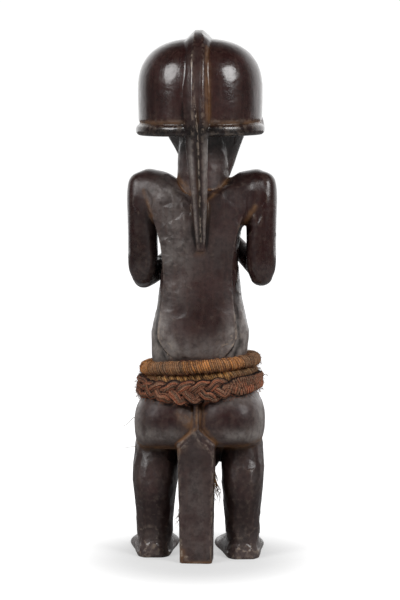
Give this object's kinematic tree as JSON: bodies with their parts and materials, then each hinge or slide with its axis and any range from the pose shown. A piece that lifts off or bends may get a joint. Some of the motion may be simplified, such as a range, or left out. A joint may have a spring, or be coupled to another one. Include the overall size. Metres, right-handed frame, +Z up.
{
  "type": "fang ancestor figure",
  "caption": "Carved dark wooden ancestor figure on two feet and a rear post, with a helmet-shaped coiffure, a long crest and a plaited fibre belt.",
  "frame": {"origin": "middle of the box on the floor, between the feet and in front of the rear post", "axes": "+Z up, the face looks towards -Y, the figure's right hand is at -X"},
  "size_m": [0.1434, 0.1253, 0.5002],
  "materials": {
    "carved_wood": "dark oiled patina with a soft gloss",
    "ochre_fibre": "dry wrapped plant fibre",
    "brown_fibre": "dry wrapped plant fibre",
    "rust_fibre": "dry plaited plant fibre"
  },
  "bodies": {
    "root": {"figure": "carved_wood", "belt_upper_rope": "ochre_fibre", "belt_middle_rope": "brown_fibre", "belt_plait": "rust_fibre"}
  },
  "joints": []
}
